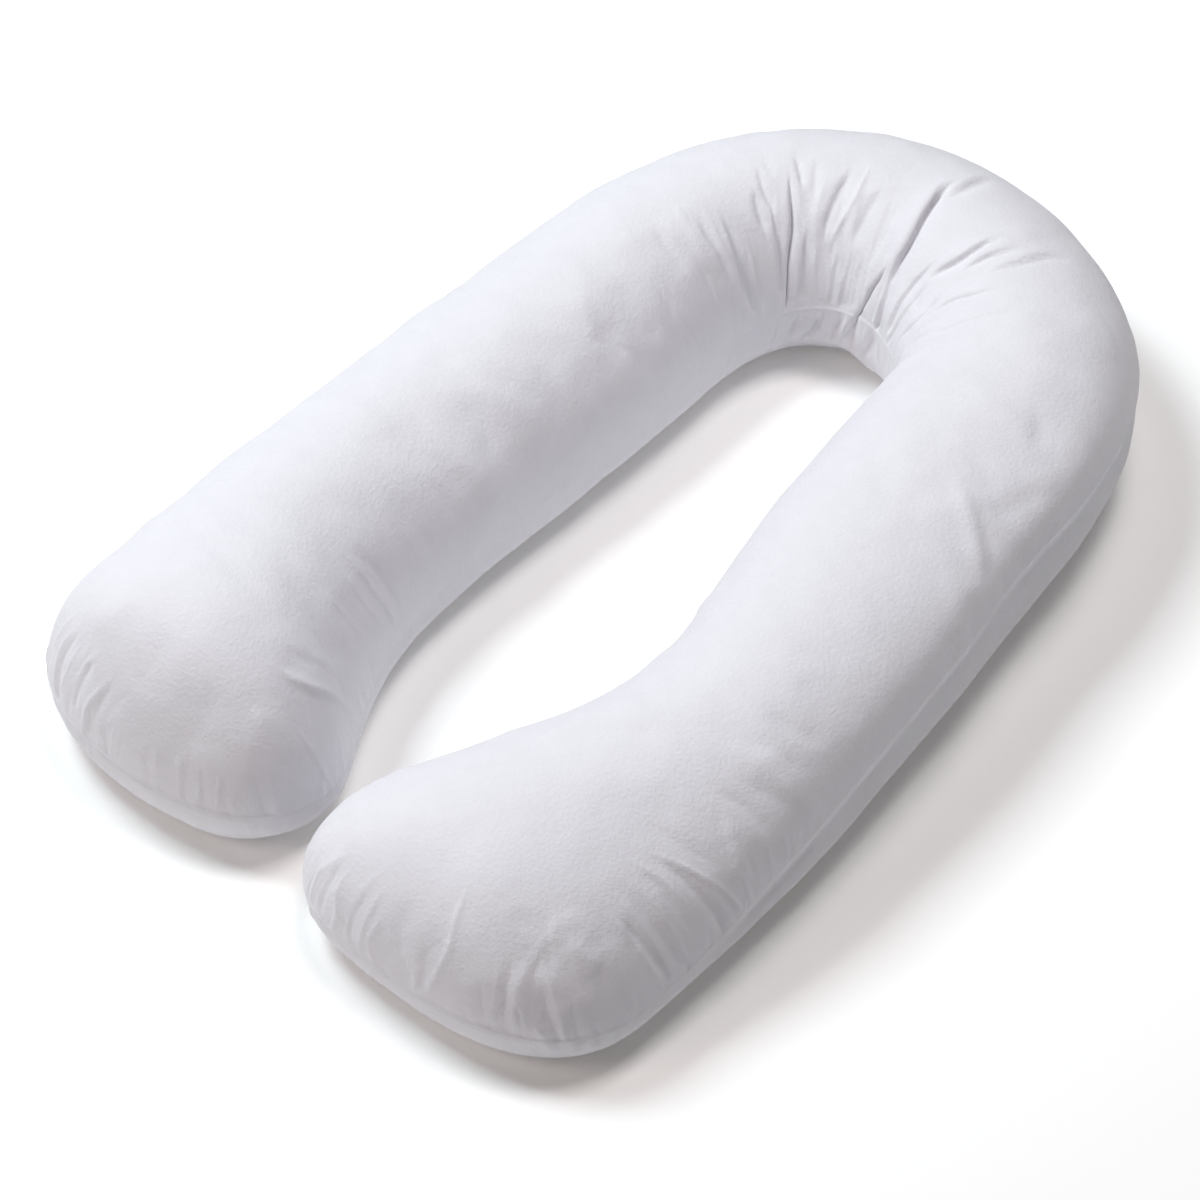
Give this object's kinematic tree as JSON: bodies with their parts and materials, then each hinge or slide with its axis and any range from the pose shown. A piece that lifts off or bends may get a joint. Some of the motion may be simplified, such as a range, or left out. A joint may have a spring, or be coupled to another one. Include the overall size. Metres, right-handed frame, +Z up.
{
  "type": "body pillow",
  "caption": "U-shaped body pillow in plain white cotton, firmly filled, with a seam round its edge and gathered folds inside the bend.",
  "frame": {"origin": "on the surface the pillow lies on, under the middle of its box", "axes": "+Z up; the bend lies towards +Y and the ends of the arms towards -Y"},
  "size_m": [0.8006, 1.3038, 0.2156],
  "materials": {
    "cotton": "matt plain-woven cotton, cool white"
  },
  "bodies": {
    "root": {"pillow": "cotton"}
  },
  "joints": []
}
